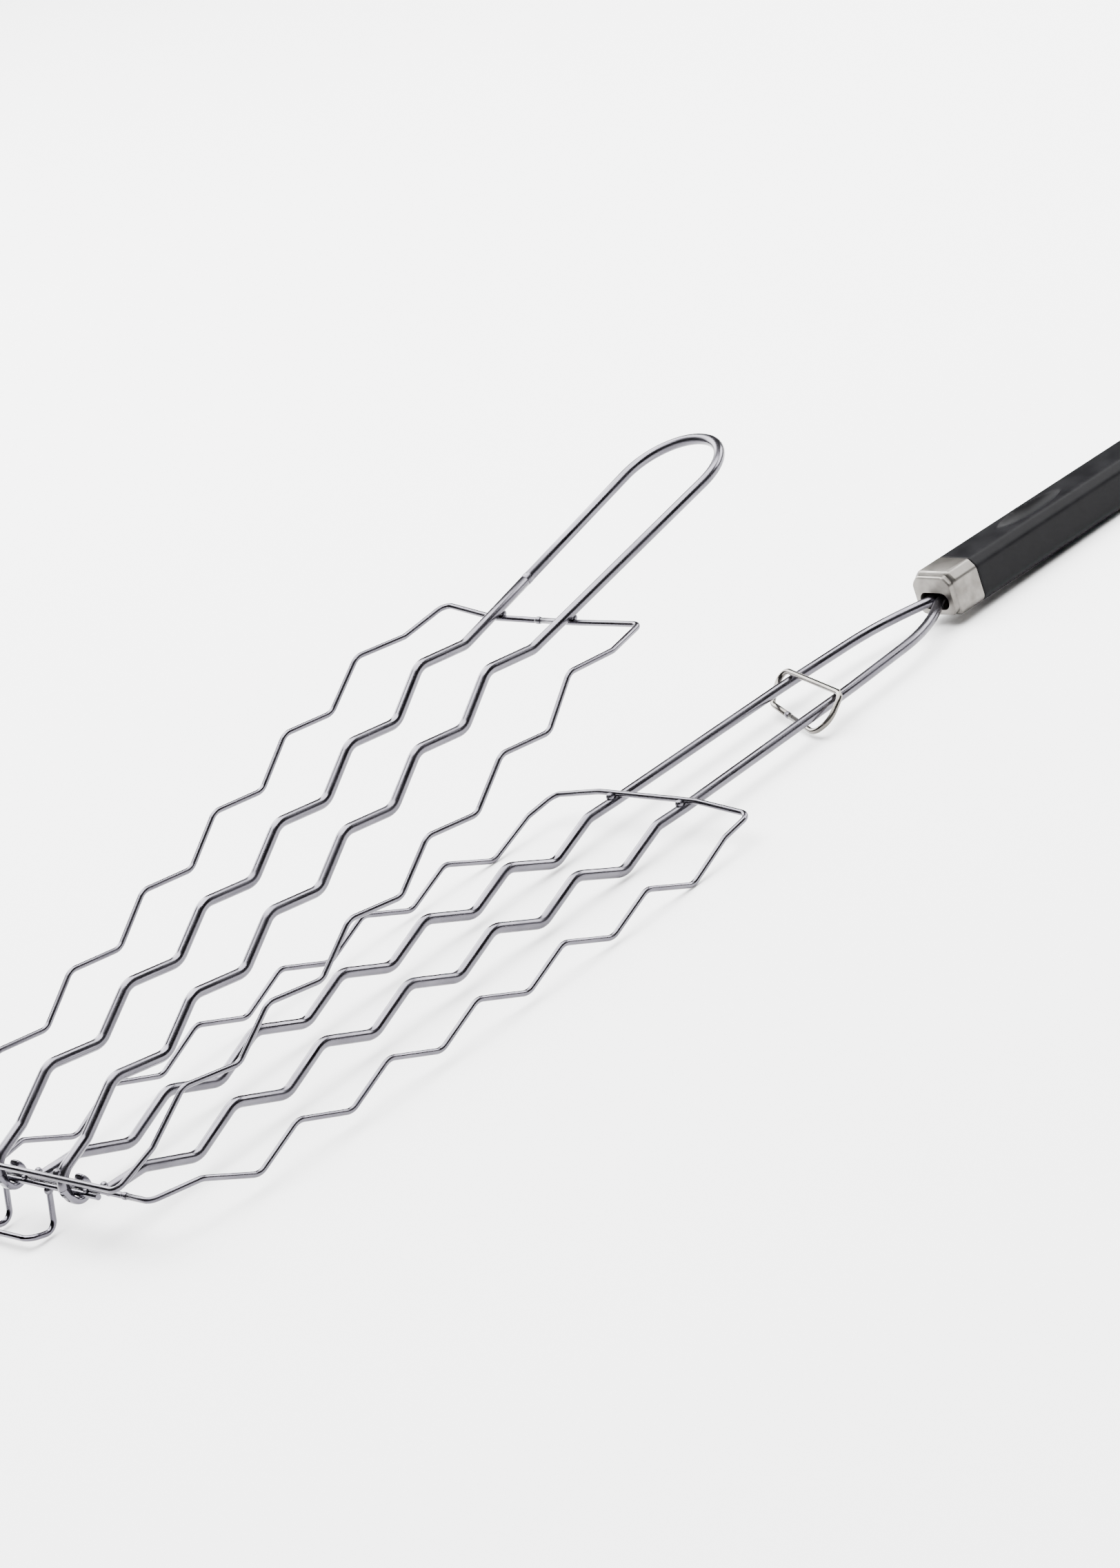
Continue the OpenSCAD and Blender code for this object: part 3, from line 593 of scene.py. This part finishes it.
class BASKET_OT_upper_half(bpy.types.Operator):
    """Builds the upper frame wire, the grid wires with the lift handle, and their hooks."""

    bl_idname = "basket.upper_half"
    bl_label = "Build upper half"

    def execute(self, context):
        lay = Layout(context.scene)
        wire, grid, hinge, shaft = lay.wire, lay.grid, lay.hinge, lay.shaft
        widths = tuple(grid.upper_widths)
        wire_z = grid.drop - grid.lift
        under_z = wire_z - lay.thick_r - lay.thin_r - wire.touch
        seam, rear = grid.upper_joint, lay.last_bend + grid.upper_rear_run
        over_x = grid.spread + grid.upper_over
        path = [Vector(p) for p in (
            (seam - wire.joint_gap, rear, under_z), (-over_x - grid.frame_shift, rear, under_z),
            (-widths[0], rear + grid.rear_skew, under_z + grid.left_rise))]
        path += reversed(lay.frame_side(-1, -1, grid.drop, widths))
        path += [Vector((-widths[3], 0, 0)), Vector((widths[3], 0, 0))]
        path += lay.frame_side(1, -1, grid.drop, widths)
        path += [Vector(p) for p in (
            (widths[0] - grid.rear_inset, rear, under_z + grid.right_rise),
            (over_x - grid.frame_shift, rear, under_z), (seam + wire.joint_gap, rear, under_z))]
        path = [p + Vector((grid.frame_shift, 0, 0)) for p in path]
        grid_bends, corner = [wire.thin_bend] * (2 * POCKETS + 1), wire.corner_bend
        rise = wire.rise_bend
        radii = [0, rise, corner] + grid_bends + [corner, corner] + grid_bends + [corner, rise, 0]
        frame_wire = tube_mesh("Upper_frame_wire", wire_rings(path, radii), lay.thin_r)
        place(frame_wire, lay.upper, UPPER, finish_of("Nickel plated thin wire"), "thin_wire", "upper_frame")

        lift_y = lay.last_bend + shaft.lift_length
        left_corner = Vector((-shaft.lift_left, lift_y, wire_z))
        right_corner = Vector((shaft.lift_right, lift_y, wire_z))
        left_start = Vector((-grid.spread, lay.last_bend, wire_z))
        way = (left_corner - left_start).normalized()
        joint = left_start + shaft.lift_joint * way
        line_y = hinge.lead - lay.hook_r
        hook_top = Vector((0, line_y, -hinge.rise + hinge.hook_straight))
        turn_in = Vector((0, line_y, -(lay.thick_r + lay.thin_r) + hinge.turn_in))
        bends = [0] + [wire.thick_bend] * (2 * POCKETS + 2)
        ends = {
            "left": (-grid.spread, [joint - wire.joint_gap * way], bends + [0]),
            "right": (grid.spread, [right_corner, left_corner, joint + wire.joint_gap * way],
                      bends + [shaft.lift_bend, shaft.lift_bend, 0]),
        }
        for name, (x, tail, radii) in ends.items():
            off = Vector((x, 0, 0))
            path = [hook_top + off, turn_in + off] + lay.grid_run(x, -1) + tail
            made = tube_mesh(f"Upper_wire_{name}", wire_rings(path, radii), lay.thick_r, sides=32)
            place(made, lay.upper, UPPER, finish_of("Nickel plated thick wire"), "thick_wire",
                  f"upper_wire_{name}")
            self.hook(lay, name, x, line_y)
        dress(("upper_rear_welds", "upper_front_welds", "upper_frame_joint", "lift_handle_joint"),
              "Plated weld bead")
        return {"FINISHED"}

    def hook(self, lay, name, x, line_y):
        """The pressed turn of a thick wire's end round the hinge, grown out of the round wire."""
        hinge = lay.hinge
        round_r, thick, wide = lay.thick_r, hinge.hook_thick / 2, hinge.hook_wide / 2
        low = -hinge.rise
        # Each station: place, outward way, half thickness, half width, squareness (2 is an ellipse).
        flat, steps, end_steps = 3.2, 60, 2
        stations = []
        for k in range(9):
            share = k / 8
            ease = share * share * (3 - 2 * share)
            z = low + (hinge.hook_straight + hinge.press_run) * (1 - share)
            stations.append((Vector((x, line_y, z)), Vector((0, 1, 0)), round_r + (thick - round_r) * ease,
                             round_r + (wide - round_r) * ease, 2 + (flat - 2) * ease))
        for k in range(1, steps + 1):
            a = hinge.wrap * k / steps
            out = Vector((0, math.cos(a), math.sin(a)))
            spot = Vector((x, hinge.lead - lay.hook_r * math.cos(a), low - lay.hook_r * math.sin(a)))
            soft = 1 - 0.25 * (1 - min(1, (steps - k) / end_steps)) ** 2
            stations.append((spot, out, thick * soft, wide * soft, flat))
        made = loft(f"Hinge_hook_{name}", [self.oval(*station) for station in stations])
        smooth_by_angle(made, 50)
        place(made, lay.upper, UPPER, finish_of("Nickel plated hinge pieces"), "thick_wire", f"hook_{name}")

    def oval(self, spot, out, half_thick, half_wide, squareness, sides=40):
        """Loop between an ellipse and a rectangle, across the wire."""
        loop = []
        for m in range(sides):
            turn = 2 * math.pi * m / sides
            c, s = math.cos(turn), math.sin(turn)
            loop.append(spot + out * math.copysign(abs(c) ** (2 / squareness), c) * half_thick
                        + Vector((1, 0, 0)) * math.copysign(abs(s) ** (2 / squareness), s) * half_wide)
        return loop


class BASKET_OT_ring(bpy.types.Operator):
    """Builds the slide ring that hangs on the two shaft rods."""

    bl_idname = "basket.ring"
    bl_label = "Build slide ring"

    def execute(self, context):
        lay = Layout(context.scene)
        ring, shaft = lay.ring, lay.shaft
        y = lay.rear + ring.place
        along = Vector((math.cos(ring.yaw), -math.sin(ring.yaw), -math.sin(ring.yaw) * shaft.slope))
        down = Vector((0, -math.sin(ring.lean), -math.cos(ring.lean)))
        mid = Vector((0, y, lay.rod_z + shaft.slope * (y - lay.rear) + lay.thick_r + lay.ring_r + ring.gap))
        half = ring.width / 2 / math.cos(ring.yaw) - lay.ring_r
        low_left = Vector((-half * 0.9, ring.height * 0.78))
        low_right = Vector((half * 0.66, ring.height))
        seam = low_left.lerp(low_right, 0.4)
        gap = lay.wire.joint_gap * (low_right - low_left).normalized()
        flat = [seam + gap, low_right, Vector((half * 0.97, ring.height * 0.62)), Vector((half, 0)),
                Vector((-half, 0)), low_left, seam - gap]
        path = [mid + p.x * along + p.y * down for p in flat]
        bends = [0, ring.low_bend, ring.low_bend, ring.top_bend, ring.top_bend, ring.left_bend, 0]
        made = tube_mesh("Slide_ring", wire_rings(path, bends), lay.ring_r)
        place(made, lay.stand, LATCH, finish_of("Nickel plated ring wire"), "ring_wire", "latch_ring")
        dress(("latch_ring_joint",), "Plated weld bead")
        return {"FINISHED"}


def section(grip, inset, corner, steps=5):
    """Outline of the handle: chamfered corners with softened edges."""
    w, h, c = grip.width / 2 - inset, grip.height / 2 - inset, grip.chamfer
    d = c * 0.7
    corners = [(-w + c, h), (w - c, h), (w, h - c), (w, -h + d),
               (w - d, -h), (-w + d, -h), (-w, -h + d), (-w, h - c)]
    outline = []
    for i, spot in enumerate(corners):
        p = Vector(spot)
        before, after = Vector(corners[i - 1]) - p, Vector(corners[(i + 1) % len(corners)]) - p
        start = p + before.normalized() * corner
        end = p + after.normalized() * corner
        for k in range(steps + 1):
            t = k / steps
            outline.append((1 - t) ** 2 * start + 2 * t * (1 - t) * p + t**2 * end)
    return outline


def loft(name, loops, cap_first=True, cap_last=True):
    """Skins loops of equal count into one closed piece."""
    mesh = bmesh.new()
    rows = [[mesh.verts.new(p) for p in loop] for loop in loops]
    count = len(rows[0])
    for a, b in zip(rows, rows[1:]):
        for m in range(count):
            n = (m + 1) % count
            mesh.faces.new((a[m], a[n], b[n], b[m]))
    if cap_first:
        mesh.faces.new(list(reversed(rows[0])))
    if cap_last:
        mesh.faces.new(rows[-1])
    bmesh.ops.recalc_face_normals(mesh, faces=mesh.faces)
    return finished_object(name, mesh)


def cut(obj, cutter):
    """Takes the cutter's shape out of the piece."""
    modifier = obj.modifiers.new("Cut", "BOOLEAN")
    modifier.operation, modifier.solver, modifier.object = "DIFFERENCE", "EXACT", cutter
    evaluated = obj.evaluated_get(bpy.context.evaluated_depsgraph_get())
    shape = bpy.data.meshes.new_from_object(evaluated)
    obj.modifiers.clear()
    obj.data = shape
    bpy.data.objects.remove(cutter)


def resampled(outline, count):
    """The same closed outline with evenly spaced points."""
    closed = outline + [outline[0]]
    lengths = [0.0]
    for a, b in zip(closed, closed[1:]):
        lengths.append(lengths[-1] + (b - a).length)
    spots, k = [], 0
    for i in range(count):
        target = lengths[-1] * i / count
        while lengths[k + 1] < target:
            k += 1
        share = (target - lengths[k]) / max(lengths[k + 1] - lengths[k], 1e-9)
        spots.append(closed[k].lerp(closed[k + 1], share))
    return spots


class BASKET_OT_handle(bpy.types.Operator):
    """Builds the cast ferrule and the moulded grip with its thumb scoop and hanging hole."""

    bl_idname = "basket.handle"
    bl_label = "Build ferrule and grip"

    def execute(self, context):
        lay = Layout(context.scene)
        self.ferrule(lay)
        self.grip(lay)
        return {"FINISHED"}

    def at(self, lay, outline, y):
        return [Vector((p.x, y, lay.grip_axis_z + p.y)) for p in outline]

    def ferrule(self, lay):
        grip = lay.grip
        corner = grip.ferrule_edge
        front, rear = lay.mouth_y - grip.nose, lay.grip_y
        # Each station: place along the shaft, and inset of the outline in millimetres.
        stations = [(front + 1e-5, 2.4), (front + 0.25 * MM, 1.6), (front + 0.9 * MM, 1.2),
                    (front + 3.0 * MM, 1.2), (front + 3.7 * MM, 0.35), (front + 4.4 * MM, 0.02),
                    (rear - 0.4 * MM, 0.02), (rear, 0.4)]
        loops = [self.at(lay, section(grip, inset * MM, corner), y) for y, inset in stations]
        made = loft("Ferrule", loops)
        slot_half = Vector((grip.width / 2 - grip.mouth_side, lay.thick_r + grip.mouth_room))
        mouth = self.rounded_slot(lay, slot_half, front - 1 * MM, front + 7 * MM)
        cut(made, mouth)
        smooth_by_angle(made, 28)
        place(made, lay.stand, LOWER, finish_of("Satin cast zinc"), "cast", "ferrule")

    def rounded_slot(self, lay, half, from_y, to_y):
        """Cutter with round ends for the mouth that the rods come in through."""
        outline = []
        for centre, start in ((half.x - half.y, -90), (-(half.x - half.y), 90)):
            for k in range(13):
                a = math.radians(start + 15 * k)
                outline.append(Vector((centre + half.y * math.cos(a), half.y * math.sin(a))))
        shift = lay.mouth_z - lay.grip_axis_z
        loops = []
        for y, grow in ((from_y, 1.12), (from_y + 1.4 * MM, 1.06), (to_y, 0.92)):
            loops.append([Vector((p.x * grow, y, lay.grip_axis_z + shift + p.y * grow)) for p in outline])
        return loft("Mouth_cutter", loops)

    def grip(self, lay):
        grip = lay.grip
        corner, round_mm = grip.grip_edge, grip.end_round / MM
        start, end = lay.grip_y + grip.fit_gap, lay.grip_end
        stations = [(start, 0.5), (start + 0.25 * MM, 0.2), (start + 0.7 * MM, 0.02)]
        count = 150
        for k in range(1, count):
            stations.append((start + 0.7 * MM + (end - 5 * MM - start) * k / count, 0.02))
        for k in range(7):
            a = math.radians(15 * k)
            back = end - grip.end_round * (1 - math.sin(a))
            stations.append((back, 0.02 + round_mm * (1 - math.cos(a))))
        scoop_y = lay.grip_y + grip.scoop_place
        round_r = ((grip.scoop_length / 2) ** 2 + grip.scoop_half**2) / (2 * grip.scoop_half)
        top = lay.grip_axis_z + grip.height / 2
        loops = []
        for y, inset in stations:
            loop = self.at(lay, resampled(section(grip, inset * MM, corner), 240), y)
            spindle = math.sqrt(max(round_r**2 - (y - scoop_y) ** 2, 0)) - (round_r - grip.scoop_half)
            for p in loop:
                if abs(p.x) < spindle and p.z > lay.grip_axis_z:
                    floor = top + grip.scoop_raise - math.sqrt(spindle**2 - p.x**2)
                    p.z = min(p.z, floor)
            loops.append(loop)
        made = loft("Grip", loops)
        hole = self.hole_cutter(lay)
        cut(made, hole)
        smooth_by_angle(made, 24)
        place(made, lay.stand, LOWER, finish_of("Moulded phenolic"), "grip", "grip")

    def hole_cutter(self, lay):
        """Cutter for the hanging hole, flared at both faces."""
        grip = lay.grip
        y = lay.grip_end - grip.hole_inset
        wide = grip.width / 2
        loops = []
        for x, extra in ((-wide - 1 * MM, 1.2), (-wide, 0.9), (-wide + 0.9 * MM, 0.02),
                         (wide - 0.9 * MM, 0.02), (wide, 0.9), (wide + 1 * MM, 1.2)):
            r = grip.hole_radius + extra * MM
            loops.append([
                Vector((x, y + r * math.cos(w), lay.grip_axis_z + r * math.sin(w)))
                for w in (2 * math.pi * k / 48 for k in range(48))
            ])
        return loft("Hole_cutter", loops)


class BASKET_OT_stage(bpy.types.Operator):
    """Sets out the floor, the soft lights and the camera."""

    bl_idname = "basket.stage"
    bl_label = "Set out the stage"

    def execute(self, context):
        stage = context.scene.basket_stage
        mesh = bmesh.new()
        half = stage.floor / 2
        mesh.faces.new([mesh.verts.new((x * half, y * half, CAD_BOX[0].z - 0.0002))
                        for x, y in ((-1, -1), (1, -1), (1, 1), (-1, 1))])
        floor = finished_object("Floor", mesh)
        floor.data.materials.append(finish_of("Matt studio floor"))
        self.sky(context.scene)
        # Each softbox: place, aim, width and height in metres, power in watts.
        self.light("Top_softbox", (-0.2, 0.3, 2.9), (0, 0, 0), (3.6, 3.6), 620)
        self.light("Left_softbox", (-2.6, 0.3, 1.7), (0, 0, 0.05), (1.8, 2.6), 210)
        self.light("Rear_softbox", (0.4, 2.8, 1.5), (0, 0, 0.05), (2.6, 1.2), 150)
        data = bpy.data.cameras.new("Camera")
        data.lens = stage.lens
        data.sensor_width = 36
        data.clip_start, data.clip_end = 0.05, 60
        camera = bpy.data.objects.new("Camera", data)
        view = Matrix.Translation(stage.camera_place) @ Euler(stage.camera_turn).to_matrix().to_4x4()
        camera.matrix_world = Layout(context.scene).stand @ view
        context.scene.collection.objects.link(camera)
        context.scene.camera = camera
        return {"FINISHED"}

    def light(self, name, place_m, aim, size, watts):
        data = bpy.data.lights.new(name, "AREA")
        data.shape, data.size, data.size_y, data.energy = "RECTANGLE", size[0], size[1], watts
        lamp = bpy.data.objects.new(name, data)
        lamp.location = place_m
        lamp.rotation_euler = (Vector(aim) - Vector(place_m)).to_track_quat("-Z", "Y").to_euler()
        bpy.context.scene.collection.objects.link(lamp)

    def sky(self, scene):
        """A dim room round the lights: nearly black high up, paler at the horizon."""
        world = bpy.data.worlds.new("Studio room")
        world.use_nodes = True
        tree = world.node_tree
        tree.nodes.clear()
        spot = add(tree, "ShaderNodeTexCoord")
        parts = add(tree, "ShaderNodeSeparateXYZ", links={"Vector": spot.outputs["Generated"]})
        share = ramp(tree, parts.outputs["Z"], 0.0, 1.0, 0.0, 0.12)
        colour = blend_colour(tree, share, "#BDBDC2", "#17171A")
        back = add(tree, "ShaderNodeBackground", {"Strength": 1.0}, {"Color": colour})
        add(tree, "ShaderNodeOutputWorld", links={"Surface": back.outputs["Background"]})
        scene.world = world


class BASKET_PT_panel(bpy.types.Panel):
    bl_label = "Grill Basket"
    bl_idname = "BASKET_PT_panel"
    bl_space_type = "VIEW_3D"
    bl_region_type = "UI"
    bl_category = "Grill Basket"

    def draw(self, context):
        column = self.layout.column()
        for operator in OPERATORS:
            column.operator(operator.bl_idname)
        for key, group in SETTINGS.items():
            box = column.box()
            box.label(text=group.__name__.replace("Basket", ""))
            for name in group.__annotations__:
                box.prop(getattr(context.scene, key), name)


OPERATORS = (BASKET_OT_stage, BASKET_OT_lower_half, BASKET_OT_upper_half, BASKET_OT_ring, BASKET_OT_handle)


def register():
    for key, group in SETTINGS.items():
        bpy.utils.register_class(group)
        setattr(bpy.types.Scene, key, bpy.props.PointerProperty(type=group))
    for operator in OPERATORS:
        bpy.utils.register_class(operator)
    bpy.utils.register_class(BASKET_PT_panel)


def unregister():
    bpy.utils.unregister_class(BASKET_PT_panel)
    for operator in reversed(OPERATORS):
        bpy.utils.unregister_class(operator)
    for key, group in reversed(SETTINGS.items()):
        delattr(bpy.types.Scene, key)
        bpy.utils.unregister_class(group)


def main():
    register()
    bpy.ops.basket.stage()
    bpy.ops.basket.lower_half()
    bpy.ops.basket.upper_half()
    bpy.ops.basket.ring()
    bpy.ops.basket.handle()


if __name__ == "__main__":
    main()
